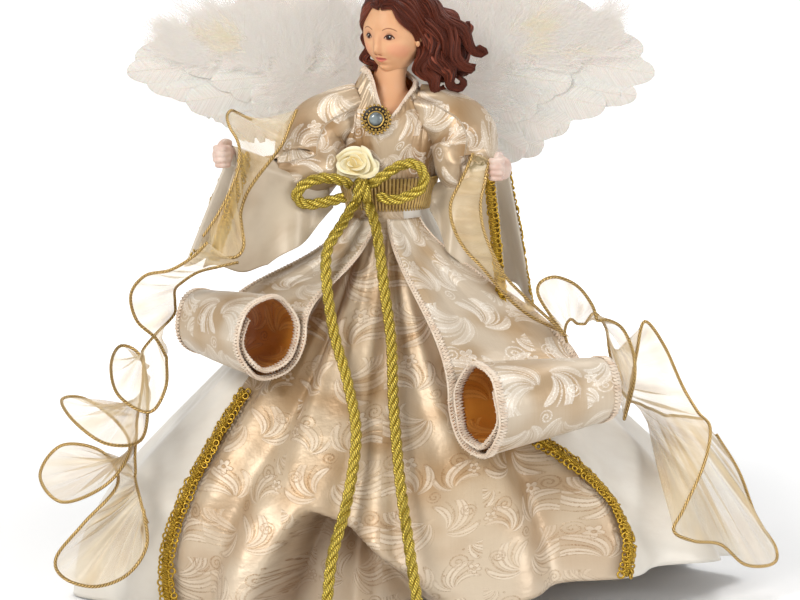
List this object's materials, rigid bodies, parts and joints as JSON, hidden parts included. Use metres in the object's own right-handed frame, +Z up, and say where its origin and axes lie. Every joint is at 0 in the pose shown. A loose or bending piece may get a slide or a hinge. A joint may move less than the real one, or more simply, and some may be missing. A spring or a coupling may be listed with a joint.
{
  "type": "angel ornament",
  "caption": "Standing fabric angel with feather wings, brocade gown, rolled ribbon drapes and a gold cord bow.",
  "frame": {"origin": "middle of the footprint's bounding box, on the surface the angel stands on", "axes": "+Z up; the angel faces -Y, so its right hand is on -X and its back on +Y"},
  "size_m": [0.4328, 0.2856, 0.3659],
  "materials": {
    "card": "plain matt card",
    "foam": "soft foam or wadding, inside",
    "timber": "bare dowel",
    "skin": "painted resin, satin",
    "hair": "painted resin, satin auburn",
    "wire": "soft steel wire",
    "white_plastic": "plain moulded",
    "brocade": "champagne satin brocade with silver-white woven scrolls",
    "satin": "ivory satin",
    "organza": "sheer beige organza with gold wired edges",
    "edging": "overlocked thread",
    "gold_trim": "metallic gimp braid",
    "gold_cord": "twisted metallic cord",
    "rose_ribbon": "cream satin ribbon",
    "old_gold": "antiqued",
    "stone": "polished clear grey cabochon",
    "feather": "white feathers and down"
  },
  "bodies": {
    "figure": {"cone": "card", "cone_plug": "foam", "spine_dowel": "timber", "torso_core": "foam", "bust": "skin", "hair": "hair", "shoulder_wire": "wire", "bodice": "brocade", "collar": "edging", "waistband": "gold_trim", "brooch_setting": "old_gold", "brooch_stone": "stone", "rose": "rose_ribbon", "bow_knot": "gold_cord", "bow_right_loop": "gold_cord", "bow_left_loop": "gold_cord", "right_tail": "gold_cord", "left_tail": "gold_cord", "right_tail_knot": "gold_cord", "left_tail_knot": "gold_cord", "skirt_front": "brocade", "skirt_right": "satin", "skirt_left": "satin", "skirt_back": "satin", "skirt_right_braid": "gold_trim", "skirt_left_braid": "gold_trim", "right_drape": "brocade", "right_drape_edging": "edging", "right_ribbon_fall": "organza", "left_drape": "brocade", "left_drape_edging": "edging", "left_ribbon_fall": "organza", "wing_bracket": "white_plastic"},
    "right_arm": {"right_arm_wire": "wire", "right_arm_padding": "foam", "right_hand": "skin", "right_sleeve": "brocade", "right_bell_sleeve": "satin", "right_cuff_braid": "gold_trim", "right_ribbon_wrap": "organza"},
    "left_arm": {"left_arm_wire": "wire", "left_arm_padding": "foam", "left_hand": "skin", "left_sleeve": "brocade", "left_bell_sleeve": "satin", "left_cuff_braid": "gold_trim", "left_ribbon_wrap": "organza"},
    "right_wing": {"right_wing_wire": "wire", "right_wing_card": "card", "right_flight_feathers": "feather", "right_covert_feathers": "feather", "right_wing_down": "feather"},
    "left_wing": {"left_wing_wire": "wire", "left_wing_card": "card", "left_flight_feathers": "feather", "left_covert_feathers": "feather", "left_wing_down": "feather"}
  },
  "joints": [
    {"name": "right_arm_lift", "type": "hinge", "parent": "figure", "child": "right_arm", "pos_m": [-0.055, 0, 0.28], "axis": [0, 1, 0], "range_deg": [0, 20]},
    {"name": "left_arm_lift", "type": "hinge", "parent": "figure", "child": "left_arm", "pos_m": [0.027, 0, 0.28], "axis": [0, -1, 0], "range_deg": [0, 20]},
    {"name": "right_wing_fold", "type": "hinge", "parent": "figure", "child": "right_wing", "pos_m": [-0.025, 0.0277, 0.279], "axis": [0, 0, -1], "range_deg": [0, 30]},
    {"name": "left_wing_fold", "type": "hinge", "parent": "figure", "child": "left_wing", "pos_m": [-0.003, 0.0277, 0.279], "axis": [0, 0, 1], "range_deg": [0, 30]}
  ]
}
